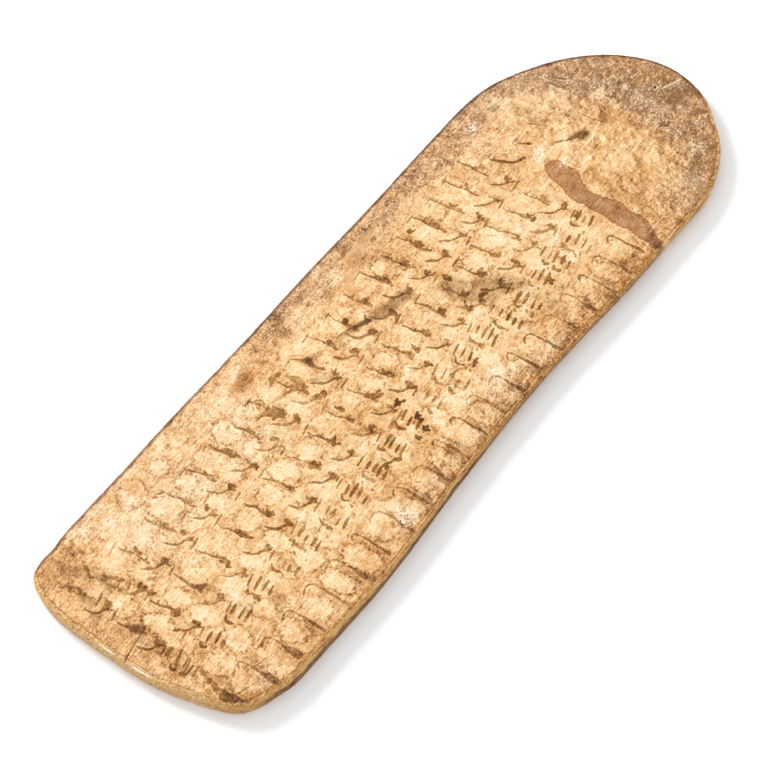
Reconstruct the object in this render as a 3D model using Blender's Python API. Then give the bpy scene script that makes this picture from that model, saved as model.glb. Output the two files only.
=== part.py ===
# A wooden writing board that lies on its back: the written face looks up, the round head is towards +Y
# and the blunt foot towards -Y. It is one plank, so it is one object. Sizes are in metres.

import math

import bmesh
import bpy

LENGTH = 0.560
WIDTH = 0.170
FOOT_THICKNESS = 0.0122
HEAD_THICKNESS = 0.0104

# Each end is two quarter bends that meet at its tip. The tips stand off the middle line, as hand work
# leaves them.
HEAD_TIP_X = 0.0085
HEAD_LEFT_REACH = 0.118
HEAD_RIGHT_REACH = 0.088
HEAD_LEFT_POWER = 1.82
HEAD_RIGHT_POWER = 1.98
FOOT_TIP_X = -0.021
FOOT_LEFT_REACH = 0.044
FOOT_RIGHT_REACH = 0.066
FOOT_LEFT_POWER = 3.7
FOOT_RIGHT_POWER = 2.8

# The right edge draws in at its middle and swells out again below it.
WAIST_DEPTH = 0.0052
WAIST_Y = 0.005
WAIST_SPREAD = 0.096
SWELL_HEIGHT = 0.0016
SWELL_Y = -0.143
SWELL_SPREAD = 0.057

# Both long edges waver a little.
EDGE_WAVER = 0.0003
WAVES_PER_METRE = 7.5
LEFT_PHASE = 1.5
RIGHT_PHASE = 2.0

# Corners that stand out and shoulders that draw in where the adze slowed down or bit deeper. Each is a
# place on the outline, how far it stands out there (below 0: draws in) and how far along the edge it spreads.
EDGE_DENTS = (
    (0.074, -0.267, 0.0030, 0.010),
    (0.084, -0.240, -0.0015, 0.009),
    (0.042, -0.277, -0.0012, 0.018),
    (-0.081, -0.269, 0.0018, 0.007),
    (-0.084, -0.248, -0.0020, 0.009),
    (0.084, 0.205, 0.0010, 0.030),
    (0.054, 0.259, -0.0014, 0.012),
    (-0.080, 0.194, 0.0013, 0.022),
)

TIP_STEPS = 22
SIDE_STEPS = 22

# How far the rounding of the upper edge reaches in: everywhere, and what use has added at each place.
WORN_RIM = 0.0014
WORN_FOOT = 0.0030
WORN_LOW_RIGHT = 0.0028
WORN_LOW_RIGHT_Y = -0.185
WORN_LOW_RIGHT_SPREAD = 0.060
WORN_HIGH_RIGHT = 0.0006

# How far the underside stands in from the outline. The edge is left nearly square where this is least.
UNDERCUT_RIM = 0.0012
UNDERCUT_HIGH_RIGHT = 0.0034
UNDERCUT_HEAD = 0.0016
UNDERCUT_LEFT = 0.0010

# The written face is a little higher in the middle. Its rings shrink towards a line between these two ends.
CROWN = 0.0007
CROWN_SHARES = (0.78, 0.48, 0.16)
CROWN_FOOT_Y = -0.215
CROWN_HEAD_Y = 0.185

NAIL_HOLE_X = 0.007
NAIL_HOLE_Y = 0.2595
NAIL_HOLE_RADIUS = 0.0009
NAIL_HOLE_DEPTH = 0.005
NAIL_HOLE_TAPER = 0.7
NAIL_HOLE_SIDES = 14

# A drying split runs up from the foot and leans to the left.
SPLIT_X = -0.001
SPLIT_LEAN = 0.0041
SPLIT_LENGTH = 0.021
SPLIT_WIDTH = 0.0013
SPLIT_BOTTOM_WIDTH = 0.0005
SPLIT_TIP_WIDTH = 0.0003
SPLIT_DEPTH = 0.0045
SPLIT_TIP_DEPTH = 0.0011
CUTTER_MARGIN = 0.003


def smooth_step(value, low, high):
    """0 below low, 1 above high and an even bend between them."""
    share = min(1.0, max(0.0, (value - low) / (high - low)))
    return share * share * (3.0 - 2.0 * share)


def bump(value, middle, spread):
    """1 at the middle, falling away to 0 on both sides."""
    return math.exp(-(((value - middle) / spread) ** 2))


def thickness(y):
    """The board thins out from the foot to the head."""
    share = (y + LENGTH / 2) / LENGTH
    return FOOT_THICKNESS + (HEAD_THICKNESS - FOOT_THICKNESS) * share


def quarter_bend(tip_x, edge_x, tip_y, reach, power):
    """Points from where a long edge ends to the tip, the tip left out."""
    points = []
    start_y = tip_y - math.copysign(reach, tip_y)
    for step in range(TIP_STEPS):
        angle = math.radians(90.0 * step / TIP_STEPS)
        across = math.cos(angle) ** (2.0 / power)
        along = math.sin(angle) ** (2.0 / power)
        points.append((tip_x + (edge_x - tip_x) * across, start_y + (tip_y - start_y) * along))
    return points


def long_edge(x, start_y, end_y):
    """Points inside a long edge, both ends left out."""
    points = []
    for step in range(1, SIDE_STEPS):
        points.append((x, start_y + (end_y - start_y) * step / SIDE_STEPS))
    return points


def hand_cut(x, y):
    """Moves a point of the plain outline to where the adze left it."""
    turn = y * WAVES_PER_METRE * 2.0 * math.pi
    if x > 0.0:
        swell = SWELL_HEIGHT * bump(y, SWELL_Y, SWELL_SPREAD)
        waist = WAIST_DEPTH * bump(y, WAIST_Y, WAIST_SPREAD)
        outward = swell - waist + EDGE_WAVER * math.sin(turn + RIGHT_PHASE)
    else:
        outward = EDGE_WAVER * math.sin(turn + LEFT_PHASE)
    side = math.copysign(1.0, x)
    share = min(1.0, abs(x) / (WIDTH / 2))
    return x + side * outward * share, y


def dented(outline):
    """Pushes the outline out or in at each of the dents, square to the edge."""
    points = []
    for (x, y), (out_x, out_y) in zip(outline, outward_directions(outline)):
        push = 0.0
        for dent_x, dent_y, height, spread in EDGE_DENTS:
            push += height * bump(math.hypot(x - dent_x, y - dent_y), 0.0, spread)
        points.append((x + out_x * push, y + out_y * push))
    return points


def board_outline():
    """The outline seen from above, counterclockwise from the lower end of the right edge."""
    right, left = WIDTH / 2, -WIDTH / 2
    head, foot = LENGTH / 2, -LENGTH / 2
    head_right = quarter_bend(HEAD_TIP_X, right, head, HEAD_RIGHT_REACH, HEAD_RIGHT_POWER)
    head_left = quarter_bend(HEAD_TIP_X, left, head, HEAD_LEFT_REACH, HEAD_LEFT_POWER)
    foot_left = quarter_bend(FOOT_TIP_X, left, foot, FOOT_LEFT_REACH, FOOT_LEFT_POWER)
    foot_right = quarter_bend(FOOT_TIP_X, right, foot, FOOT_RIGHT_REACH, FOOT_RIGHT_POWER)
    points = long_edge(right, foot_right[0][1], head_right[0][1])
    points += head_right
    points += [(HEAD_TIP_X, head)]
    points += reversed(head_left)
    points += long_edge(left, head_left[0][1], foot_left[0][1])
    points += foot_left
    points += [(FOOT_TIP_X, foot)]
    points += reversed(foot_right)
    points = dented([hand_cut(x, y) for x, y in points])
    middle_x = (max(x for x, _ in points) + min(x for x, _ in points)) / 2
    return [(x - middle_x, y) for x, y in points]


def outward_directions(outline):
    """One unit vector for each outline point, square to the outline."""
    directions = []
    for index in range(len(outline)):
        before = outline[index - 1]
        after = outline[(index + 1) % len(outline)]
        along_x, along_y = after[0] - before[0], after[1] - before[1]
        size = math.hypot(along_x, along_y)
        directions.append((along_y / size, -along_x / size))
    return directions


def worn_width(x, y):
    """How far the rounding of the upper edge reaches in from the outline."""
    right = smooth_step(x, 0.03, 0.07)
    foot = WORN_FOOT * smooth_step(-y, 0.255, 0.272)
    low_right = WORN_LOW_RIGHT * right * bump(y, WORN_LOW_RIGHT_Y, WORN_LOW_RIGHT_SPREAD)
    high_right = WORN_HIGH_RIGHT * right * smooth_step(y, 0.090, 0.160)
    return WORN_RIM + foot + low_right + high_right


def undercut_width(x, y):
    """How far the underside stands in from the outline."""
    high_right = UNDERCUT_HIGH_RIGHT * smooth_step(x, 0.03, 0.07) * smooth_step(y, -0.060, 0.010)
    head = UNDERCUT_HEAD * smooth_step(y, 0.200, 0.260)
    left = UNDERCUT_LEFT * smooth_step(-x, 0.05, 0.08)
    return UNDERCUT_RIM + high_right + head + left


def edge_profile(x, y):
    """Steps up the edge from the underside to the written face, each an inset and a height."""
    under, worn, top = undercut_width(x, y), worn_width(x, y), thickness(y)
    under_height = min(1.5 * under, 0.5 * top)
    worn_height = min(0.75 * worn, 0.3 * top)
    return [
        (under, 0.0),
        (0.32 * under, 0.36 * under_height),
        (0.0, under_height),
        (0.0, top - worn_height),
        (0.28 * worn, top - 0.34 * worn_height),
        (worn, top),
    ]


def board_rings(outline):
    """Closed rings of points, from the rim of the underside up the edge and in over the written face."""
    directions = outward_directions(outline)
    rows = []
    for (x, y), (out_x, out_y) in zip(outline, directions):
        row = [(x - out_x * inset, y - out_y * inset, height) for inset, height in edge_profile(x, y)]
        rim_x, rim_y, _ = row[-1]
        middle_y = min(CROWN_HEAD_Y, max(CROWN_FOOT_Y, rim_y))
        for share in CROWN_SHARES:
            ring_y = middle_y + (rim_y - middle_y) * share
            row.append((rim_x * share, ring_y, thickness(y) + CROWN * (1.0 - share**2)))
        rows.append(row)
    return list(zip(*rows))


def mesh_object(name, mesh_maker):
    """A new object from what mesh_maker puts into an empty mesh, with its faces turned outwards."""
    shape = bmesh.new()
    mesh_maker(shape)
    bmesh.ops.recalc_face_normals(shape, faces=shape.faces)
    mesh = bpy.data.meshes.new(name)
    shape.to_mesh(mesh)
    shape.free()
    made = bpy.data.objects.new(name, mesh)
    bpy.context.scene.collection.objects.link(made)
    return made


def fill_board(shape):
    """The plank: bands between neighbouring rings, closed below and at the middle of the written face."""
    rings = [[shape.verts.new(point) for point in ring] for ring in board_rings(board_outline())]
    for lower, upper in zip(rings, rings[1:]):
        for index in range(len(lower)):
            after = (index + 1) % len(lower)
            shape.faces.new((lower[index], lower[after], upper[after], upper[index]))
    shape.faces.new(rings[-1])
    shape.faces.new(list(reversed(rings[0])))


def fill_nail_hole(shape):
    """A short tapered pin that stands where the nail stood."""
    made = bmesh.ops.create_cone(
        shape,
        cap_ends=True,
        segments=NAIL_HOLE_SIDES,
        radius1=NAIL_HOLE_RADIUS * NAIL_HOLE_TAPER,
        radius2=NAIL_HOLE_RADIUS,
        depth=NAIL_HOLE_DEPTH * 2.0,
    )
    top = thickness(NAIL_HOLE_Y) + CROWN
    bmesh.ops.translate(shape, verts=made["verts"], vec=(NAIL_HOLE_X, NAIL_HOLE_Y, top))


def fill_split(shape):
    """A wedge, wide and deep at the foot and narrow and shallow at its upper end."""
    foot_y = -LENGTH / 2 - CUTTER_MARGIN
    tip_y = -LENGTH / 2 + SPLIT_LENGTH
    top = FOOT_THICKNESS + CUTTER_MARGIN
    ends = [
        (SPLIT_X, foot_y, FOOT_THICKNESS - SPLIT_DEPTH, SPLIT_BOTTOM_WIDTH, SPLIT_WIDTH),
        (SPLIT_X - SPLIT_LEAN, tip_y, FOOT_THICKNESS - SPLIT_TIP_DEPTH, SPLIT_TIP_WIDTH / 2, SPLIT_TIP_WIDTH),
    ]
    loops = []
    for x, y, low, low_width, top_width in ends:
        corners = [
            (x - low_width / 2, y, low),
            (x + low_width / 2, y, low),
            (x + top_width / 2, y, top),
            (x - top_width / 2, y, top),
        ]
        loops.append([shape.verts.new(corner) for corner in corners])
    near, far = loops
    shape.faces.new(near)
    shape.faces.new(list(reversed(far)))
    for index in range(len(near)):
        after = (index + 1) % len(near)
        shape.faces.new((near[index], far[index], far[after], near[after]))


def wood_material():
    """Pale old wood, rubbed smooth."""
    made = bpy.data.materials.new("wood")
    made.use_nodes = True
    surface = made.node_tree.nodes["Principled BSDF"]
    surface.inputs["Base Color"].default_value = (0.72, 0.50, 0.28, 1.0)
    surface.inputs["Roughness"].default_value = 0.62
    return made


def cut_with(whole, cutter):
    """Takes the cutter's shape out of the whole and keeps the cutter out of sight."""
    cutter.hide_render = True
    cutter.display_type = "WIRE"
    cut = whole.modifiers.new("cut_" + cutter.name, "BOOLEAN")
    cut.operation = "DIFFERENCE"
    cut.solver = "EXACT"
    cut.object = cutter


for old in list(bpy.data.objects):
    bpy.data.objects.remove(old)

board = mesh_object("board", fill_board)
board.data.materials.append(wood_material())
cut_with(board, mesh_object("nail_hole", fill_nail_hole))
cut_with(board, mesh_object("split", fill_split))
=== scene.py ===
import math
import random

import bmesh
import bpy
import numpy as np
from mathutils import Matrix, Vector, noise
from mathutils.bvhtree import BVHTree
from mathutils.kdtree import KDTree


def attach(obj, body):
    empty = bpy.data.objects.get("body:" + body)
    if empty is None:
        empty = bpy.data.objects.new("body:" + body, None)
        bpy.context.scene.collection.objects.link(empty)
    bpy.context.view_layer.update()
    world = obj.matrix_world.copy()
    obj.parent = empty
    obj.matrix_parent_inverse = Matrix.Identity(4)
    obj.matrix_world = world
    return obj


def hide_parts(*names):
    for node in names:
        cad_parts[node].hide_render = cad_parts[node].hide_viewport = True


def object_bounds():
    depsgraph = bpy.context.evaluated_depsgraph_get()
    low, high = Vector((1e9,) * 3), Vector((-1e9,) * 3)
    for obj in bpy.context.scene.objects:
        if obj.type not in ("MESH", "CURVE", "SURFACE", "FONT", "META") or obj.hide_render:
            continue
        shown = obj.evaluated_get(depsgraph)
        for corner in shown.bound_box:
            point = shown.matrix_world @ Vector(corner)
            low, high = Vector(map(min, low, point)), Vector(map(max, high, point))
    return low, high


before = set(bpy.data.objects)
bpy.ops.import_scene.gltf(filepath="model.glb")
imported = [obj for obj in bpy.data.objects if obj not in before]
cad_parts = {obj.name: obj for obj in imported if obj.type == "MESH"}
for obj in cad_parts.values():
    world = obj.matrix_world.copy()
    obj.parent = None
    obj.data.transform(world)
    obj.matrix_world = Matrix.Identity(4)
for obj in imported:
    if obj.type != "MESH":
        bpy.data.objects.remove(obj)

cad_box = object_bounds()
MM = 0.001


# The place it lies in: a pale floor, an even white sky and one wide soft lamp low on the left, which
# leaves a faint shadow on the right. None of this belongs to the object.
FLOOR_REACH = 6.0
FLOOR_GAP = 0.0001
FLOOR_WHITE = (0.9, 0.9, 0.9, 1.0)
SKY_STRENGTH = 0.97
LAMP_POWER = 58.0
LAMP_SIZE = 0.8
LAMP_DISTANCE = 2.6
LAMP_TURN = 176.0
LAMP_HEIGHT = 31.0
VIEW_TURN = 37.1
VIEW_HEIGHT = 58.0
VIEW_DISTANCE = 1.678
VIEW_AIM = Vector((0.0042, -0.036, 0.012))
LENS = 127.0
FILM_WIDTH = 36.0

room = bpy.context.scene
room.view_settings.view_transform = "Standard"


def on_a_sphere(turn, height, distance):
    """The point that far from the origin, turned from +X towards +Y and raised, in degrees."""
    turn, height = math.radians(turn), math.radians(height)
    flat = distance * math.cos(height)
    return Vector((flat * math.cos(turn), flat * math.sin(turn), distance * math.sin(height)))


def look_at(thing, place, target):
    """Stands a lamp or a camera at a place and turns its front to the target."""
    thing.location = place
    thing.rotation_euler = (target - place).to_track_quat("-Z", "Y").to_euler()
    room.collection.objects.link(thing)


camera = bpy.data.objects.new("camera", bpy.data.cameras.new("camera"))
camera.data.lens = LENS
camera.data.sensor_width = FILM_WIDTH
camera.data.clip_start = 0.05
camera.data.clip_end = 50.0
look_at(camera, VIEW_AIM + on_a_sphere(VIEW_TURN - 90.0, VIEW_HEIGHT, VIEW_DISTANCE), VIEW_AIM)
room.camera = camera

lamp = bpy.data.objects.new("lamp", bpy.data.lights.new("lamp", "AREA"))
lamp.data.energy = LAMP_POWER
lamp.data.size = LAMP_SIZE
look_at(lamp, on_a_sphere(LAMP_TURN, LAMP_HEIGHT, LAMP_DISTANCE), Vector((0.0, 0.0, 0.0)))

sky = bpy.data.worlds.new("sky")
sky.use_nodes = True
sky.node_tree.nodes["Background"].inputs["Color"].default_value = (1.0, 1.0, 1.0, 1.0)
sky.node_tree.nodes["Background"].inputs["Strength"].default_value = SKY_STRENGTH
room.world = sky

floor_shape = bmesh.new()
bmesh.ops.create_circle(floor_shape, cap_ends=True, segments=64, radius=FLOOR_REACH)
bmesh.ops.translate(floor_shape, verts=floor_shape.verts, vec=(0.0, 0.0, cad_box[0].z - FLOOR_GAP))
floor = bpy.data.objects.new("floor", bpy.data.meshes.new("floor"))
floor_shape.to_mesh(floor.data)
floor_shape.free()
floor_white = bpy.data.materials.new("floor_white")
floor_white.use_nodes = True
floor_white.node_tree.nodes["Principled BSDF"].inputs["Base Color"].default_value = FLOOR_WHITE
floor_white.node_tree.nodes["Principled BSDF"].inputs["Roughness"].default_value = 0.9
floor.data.materials.append(floor_white)
room.collection.objects.link(floor)


# The writing: brown ink laid on with a reed pen, in rows of short strokes that are no letters. Each stroke
# is a run of overlapping round dabs on a map of the board, which later tells the mesh and the finish how
# far every spot is from the nearest ink. All sizes on the map are in millimetres.
MAP_STEP = 0.3
MAP_MARGIN = 2.0
DAB_GAP = 0.35
FINEST_DAB = 0.12
STEADY = 0.14
UNSTEADY = 0.35
INK_REACH = 9.0
ROW_COUNT = 21
FIRST_ROW = -260.0
ROW_GAP = 22.0
ROW_GAP_LOSS = 0.105
ROW_SAGS = {1: 0.006, 2: 0.003}
PEN_HALF_WIDTH = 0.62
pen_hand = random.Random(11)


class BoardMap:
    """How far each spot is from what was laid down, below nothing inside it, and how strong that was."""

    def __init__(self, reach):
        low, high = cad_box[0] / MM, cad_box[1] / MM
        self.left = low.x - MAP_MARGIN
        self.bottom = low.y - MAP_MARGIN
        columns = int((high.x + MAP_MARGIN - self.left) / MAP_STEP) + 1
        rows = int((high.y + MAP_MARGIN - self.bottom) / MAP_STEP) + 1
        self.reach = reach
        self.distance = np.full((rows, columns), reach)
        self.strength = np.zeros((rows, columns))
        self.across = self.left + MAP_STEP * np.arange(columns)
        self.along = self.bottom + MAP_STEP * np.arange(rows)

    def dab(self, x, y, radius, strength):
        """Lays down one round spot."""
        span = radius + self.reach
        first, last = np.searchsorted(self.across, (x - span, x + span))
        low, high = np.searchsorted(self.along, (y - span, y + span))
        wide = self.across[first:last][None, :] - x
        tall = self.along[low:high][:, None] - y
        found = np.hypot(wide, tall) - radius
        window = self.distance[low:high, first:last]
        nearer = found < window
        self.strength[low:high, first:last][nearer] = strength
        window[nearer] = found[nearer]

    def stroke(self, points, strength, ragged=STEADY):
        """Lays down a smooth stroke through points of x, y and half width."""
        path = np.array([points[0], *points, points[-1]], float)
        for before, start, end, after in zip(path, path[1:], path[2:], path[3:]):
            steps = max(2, int(math.hypot(*(end - start)[:2]) / DAB_GAP))
            for step in range(steps):
                t = step / steps
                x, y, half = 0.5 * (
                    2.0 * start
                    + (end - before) * t
                    + (2.0 * before - 5.0 * start + 4.0 * end - after) * t**2
                    + (3.0 * start - before - 3.0 * end + after) * t**3
                )
                half *= 1.0 + ragged * noise.noise(Vector((x, y, 3.0))) * 2.0
                self.dab(x, y, max(FINEST_DAB, half), strength)

    def read(self, layer, x, y):
        """The layer's value at places between the map's spots."""
        across = np.clip((x - self.left) / MAP_STEP, 0.0, layer.shape[1] - 1.001)
        up = np.clip((y - self.bottom) / MAP_STEP, 0.0, layer.shape[0] - 1.001)
        column, row = across.astype(int), up.astype(int)
        right, above = across - column, up - row
        low = layer[row, column] * (1.0 - right) + layer[row, column + 1] * right
        high = layer[row + 1, column] * (1.0 - right) + layer[row + 1, column + 1] * right
        return low * (1.0 - above) + high * above


ink = BoardMap(INK_REACH)


def near(value, spread):
    """A hand's version of a value: a little more or less."""
    return value + pen_hand.uniform(-spread, spread)


def wet(strength):
    """The strength of one stroke, a little more or less than its neighbours'."""
    return near(strength, 0.12)


def row_y(row, x):
    """Where a row runs at that x. Rows close up towards the head, rise to the right and sag at the foot."""
    sag = ROW_SAGS.get(row, 0.0) * max(0.0, -20.0 - x) ** 2
    slope = 0.01 + 0.004 * row
    return FIRST_ROW + ROW_GAP * row - ROW_GAP_LOSS * row**2 - sag + slope * x


def ink_strength(x, y):
    """The ink is strong in the middle rows and rubbed faint towards the head and the left edge."""
    rubbed_head = np.clip((y - 60.0) / 90.0, 0.0, 1.0) * np.clip((20.0 - x) / 60.0, 0.15, 1.0)
    rubbed_left = np.clip((-35.0 - x) / 30.0, 0.0, 1.0)
    thin_foot = float(y < -225.0)
    worn = 0.1 * rubbed_head + 0.06 * rubbed_left + 0.02 * thin_foot
    return float(np.clip(near(0.47, 0.14) - worn, 0.15, 1.0))


def tick(x, y, height, strength, half=PEN_HALF_WIDTH):
    """A short upright stroke whose top leans to the left."""
    lean = near(0.2, 0.08) * height
    middle = (x - near(0.5, 0.12) * lean, y + 0.5 * height, half * near(1.05, 0.2))
    ink.stroke([(x, y, 0.75 * half), middle, (x - lean, y + height, 0.6 * half)], strength)


def clot(x, y, wide, tall, strength):
    """A thick patch where short wet strokes ran together, with spurs that stand out of it."""
    for _ in range(5):
        start_x, start_y = near(x, 0.4 * wide), near(y, 0.35 * tall)
        end_x, end_y = start_x + near(0.0, 0.4 * wide), start_y + near(0.2, 0.4) * tall
        half = near(0.85, 0.3)
        middle = (near(0.5 * (start_x + end_x), 0.6), near(0.5 * (start_y + end_y), 0.6), 0.9 * half)
        spur = (end_x, end_y, near(0.55, 0.25))
        ink.stroke([(start_x, start_y, half), middle, spur], wet(strength), UNSTEADY)
    ink.dab(x, y, 0.2 * min(wide, tall), min(1.0, 1.1 * strength))


def hatch(x, y, count, strength):
    """Ticks that stand apart side by side, uneven in height, and a short bent smear that touches none."""
    gap = near(4.9, 0.7)
    under = y - 5.6
    for place in range(count):
        foot = y - near(1.3, 1.4)
        at, height, ticked = near(x + gap * place, 0.6), near(7.2, 2.6), near(strength, 0.15)
        tick(at, foot, height, ticked, PEN_HALF_WIDTH * near(1.4, 0.3))
        if pen_hand.random() < 0.6:
            flick = y + (9.5 if place % 2 else -6.5)
            start = (x + gap * place - near(1.2, 0.6), flick + near(0.6, 0.8), 0.5)
            end = (x + gap * place + near(0.4, 0.6), flick - near(0.2, 0.8), near(0.7, 0.3))
            ink.stroke([start, end], wet(0.7 * strength), 0.3)
    width = near(0.8, 0.2) * gap * count
    start_x, start_y = x + near(-0.35, 0.3) * gap, under + near(1.4, 0.5)
    ink.stroke([
        (start_x, start_y, 0.5), (start_x + 0.14 * width, start_y - near(1.9, 0.5), near(0.8, 0.3)),
        (start_x + 0.32 * width, start_y - near(2.1, 0.5), near(0.8, 0.25)),
        (start_x + 0.48 * width, start_y - near(0.8, 0.6), 0.5),
    ], wet(strength), UNSTEADY)
    if pen_hand.random() < 0.5:
        at, level = x + near(0.45, 0.3) * gap * count, under - near(0.2, 0.8)
        clot(at, level, near(5.0, 1.5), near(3.0, 1.0), wet(strength))


def falling(x, y, strength):
    """A stroke that starts at the upper right and falls to the lower left in two bends."""
    drop = near(10.5, 2.0)
    half = PEN_HALF_WIDTH * near(1.15, 0.25)
    points = [
        (x + near(4.0, 1.2), y + near(3.0, 0.8), 0.6 * half), (x + 0.8, y + near(1.0, 0.6), 1.1 * half),
        (x - 1.6, y - 0.4 * drop, 0.95 * half), (x - near(4.6, 0.6), y - 0.62 * drop, 1.2 * half),
        (x - near(9.0, 1.6), y - near(0.84, 0.1) * drop, 0.45 * half),
    ]
    ink.stroke(points, strength, 0.25)
    for _ in range(2):
        at_x, at_y = x + near(1.5, 2.5), y + near(4.5, 1.5)
        end = (near(at_x, 1.5), at_y - near(2.5, 0.8), 0.65)
        ink.stroke([(at_x, at_y, 0.5), end], near(strength, 0.15), 0.3)


def wavering(x, y, length, strength):
    """A thin wavering stroke that climbs to the right, thickens there and has short spurs along it."""
    climb = near(4.0, 1.6)
    half = PEN_HALF_WIDTH * near(0.9, 0.2)
    points = []
    for share in (0.0, 0.2, 0.4, 0.62, 0.82, 1.0):
        thick = half * near(0.85 + 0.6 * share, 0.25)
        points.append((x + share * length, y - 1.5 + climb * share + near(0.0, 0.9), thick))
    ink.stroke(points, strength, 0.3)
    for spur in (0.3, 0.5, 0.66, 0.88):
        at_x, at_y = x + near(spur, 0.06) * length, y - 1.2 + climb * spur
        end = (at_x - near(0.4, 0.5), at_y + near(2.2, 1.0), 0.55 * half)
        ink.stroke([(at_x, at_y, 0.8 * half), end], wet(strength))


def margin_dash(x, y, strength):
    """The dash that ends a row at the right edge: a hair line on the left, broad and wet on the right."""
    length = near(23.5, 2.0)
    broad = 1.9 if y < -205.0 else 0.95
    ink.stroke([
        (x, y - 0.6, 0.4), (x + 0.25 * length, y + near(0.4, 0.5), 0.55),
        (x + 0.5 * length, y + near(0.6, 0.5), 0.75),
        (x + 0.75 * length, y + near(0.9, 0.5), broad * near(1.0, 0.3)),
        (x + length, y + near(1.0, 0.5), broad * near(0.9, 0.3)),
    ], near(0.6 + 0.2 * broad, 0.2) * strength, UNSTEADY)
    hang = near(8.0, 3.5)
    ink.stroke([
        (x + 0.6, y - 0.6, 0.6), (x - 1.4, y - 0.3 * hang, 0.5), (x - 0.9, y - 0.7 * hang, 0.6),
        (x + near(1.2, 1.5), y - hang, 0.35),
    ], near(0.85, 0.2) * strength, 0.3)


def scatter(x, y, strength):
    """A few short thin flicks above and below a row."""
    for _ in range(pen_hand.randint(1, 3)):
        at_x, at_y = near(x, 9.0), y + pen_hand.choice((-6.0, 7.0)) + near(0.0, 2.0)
        end = (at_x + near(1.6, 1.2), at_y + near(0.6, 1.4), 0.4)
        ink.stroke([(at_x, at_y, 0.35), end], near(0.6, 0.2) * strength)


# From right to left, each row holds the same kinds of stroke, wet or dry as the pen was.
for row in range(ROW_COUNT):
    shift = -9.0 if row == 0 else near(0.0, 1.8)

    def along_row(column, spread):
        """A place in this row and the ink's strength there."""
        at = near(column, spread) + shift
        return at, row_y(row, at), ink_strength(at, row_y(row, at))

    margin_dash(*along_row(55.0, 1.2))
    at, level, strength = along_row(30.5, 2.0)
    hatch(at, level, pen_hand.choice((3, 4, 4)), strength)
    at, level, strength = along_row(24.5, 1.2)
    tick(at, level - 2.5, near(8.0, 1.5), strength)
    falling(*along_row(17.0, 1.5))
    at, level, strength = along_row(17.5, 2.0)
    clot(at, level + 3.0, near(4.5, 1.5), near(3.6, 1.2), strength)
    at, level, strength = along_row(-13.0, 2.5)
    wavering(at, level, near(19.0, 3.0), strength)
    at, level, strength = along_row(4.0, 2.0)
    clot(at, level + 1.5, near(6.5, 2.0), near(5.0, 1.6), strength)
    at, level, strength = along_row(-16.5, 1.5)
    tick(at, level - 3.0, near(7.5, 1.5), strength)
    falling(*along_row(-24.5, 1.8))
    at, level, strength = along_row(-26.0, 2.0)
    clot(at, level + 3.0, near(4.5, 1.5), near(3.6, 1.2), strength)
    at, level, strength = along_row(-58.0 if row > 13 else -55.0, 3.0)
    wavering(at, level - 1.0, near(22.0, 4.0), strength)
    tick(at + near(0.5, 1.0), level - near(9.0, 1.5), near(7.0, 2.0), 0.7 * strength, 0.5)
    at, level, strength = along_row(-41.0, 2.5)
    clot(at, level + 0.5, near(7.0, 2.0), near(3.6, 1.2), strength)
    for column in (-50.0, -32.0, -5.0, 12.0, 36.0):
        scatter(*along_row(column, 4.0))

# The blackest clots, and the thick patches and loose strokes of the bottom rows.
for x, y, wide, tall, strength in (
    (20.5, -42, 8, 7, 1.75), (36, -43, 7, 6, 1.6), (44, -47, 8, 6.5, 1.8), (-45, -50, 10, 9, 0.9),
    (5, -45, 7, 8, 0.8), (4.5, -4, 7, 6, 0.85), (-38, -96, 12, 9, 0.7), (3, -237, 6.5, 6.5, 0.85),
    (-33, -5, 7, 7, 0.95), (7, -107, 7, 6, 0.85), (-40, -133, 8, 6, 0.85), (5.5, -88, 7, 7, 0.95),
    (-22, -63, 8, 8, 0.7), (-6, -67, 8, 5, 0.8), (14, 55, 6, 6, 0.95), (12, 41, 9, 6, 1),
    (40, -82, 6, 8, 0.85), (-18, -236, 8, 5, 0.75), (26, 141, 4, 4, 0.9), (-53, 65, 4, 8, 0.85),
    (-45, -244, 9, 5, 0.6), (-8, -259, 9, 5, 0.55), (40, 89, 10, 5, 0.95), (2, 68, 8, 4, 0.85),
    (-10, 51, 12, 4, 0.85), (-41, 27, 10, 4, 0.85),
):
    clot(x, y, 0.85 * wide, 0.85 * tall, 0.72 * strength)
for x, y, height in (
    (-38, -262, 8), (-33.5, -263, 9), (13, -264, 8), (17.5, -263, 9), (25, -265, 8), (31, -264, 9),
    (36.5, -263, 8), (-29, -246, 9), (-24, -243, 7), (-36, -246, 6),
):
    tick(x, y, height, near(0.46, 0.1))
for x, y, wide, tall, strength in (
    (-57, -262, 13, 5, 0.36), (-12, -260, 14, 6, 0.34), (-55, -248, 12, 5, 0.4),
):
    clot(x, y, wide, tall, strength)

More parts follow.
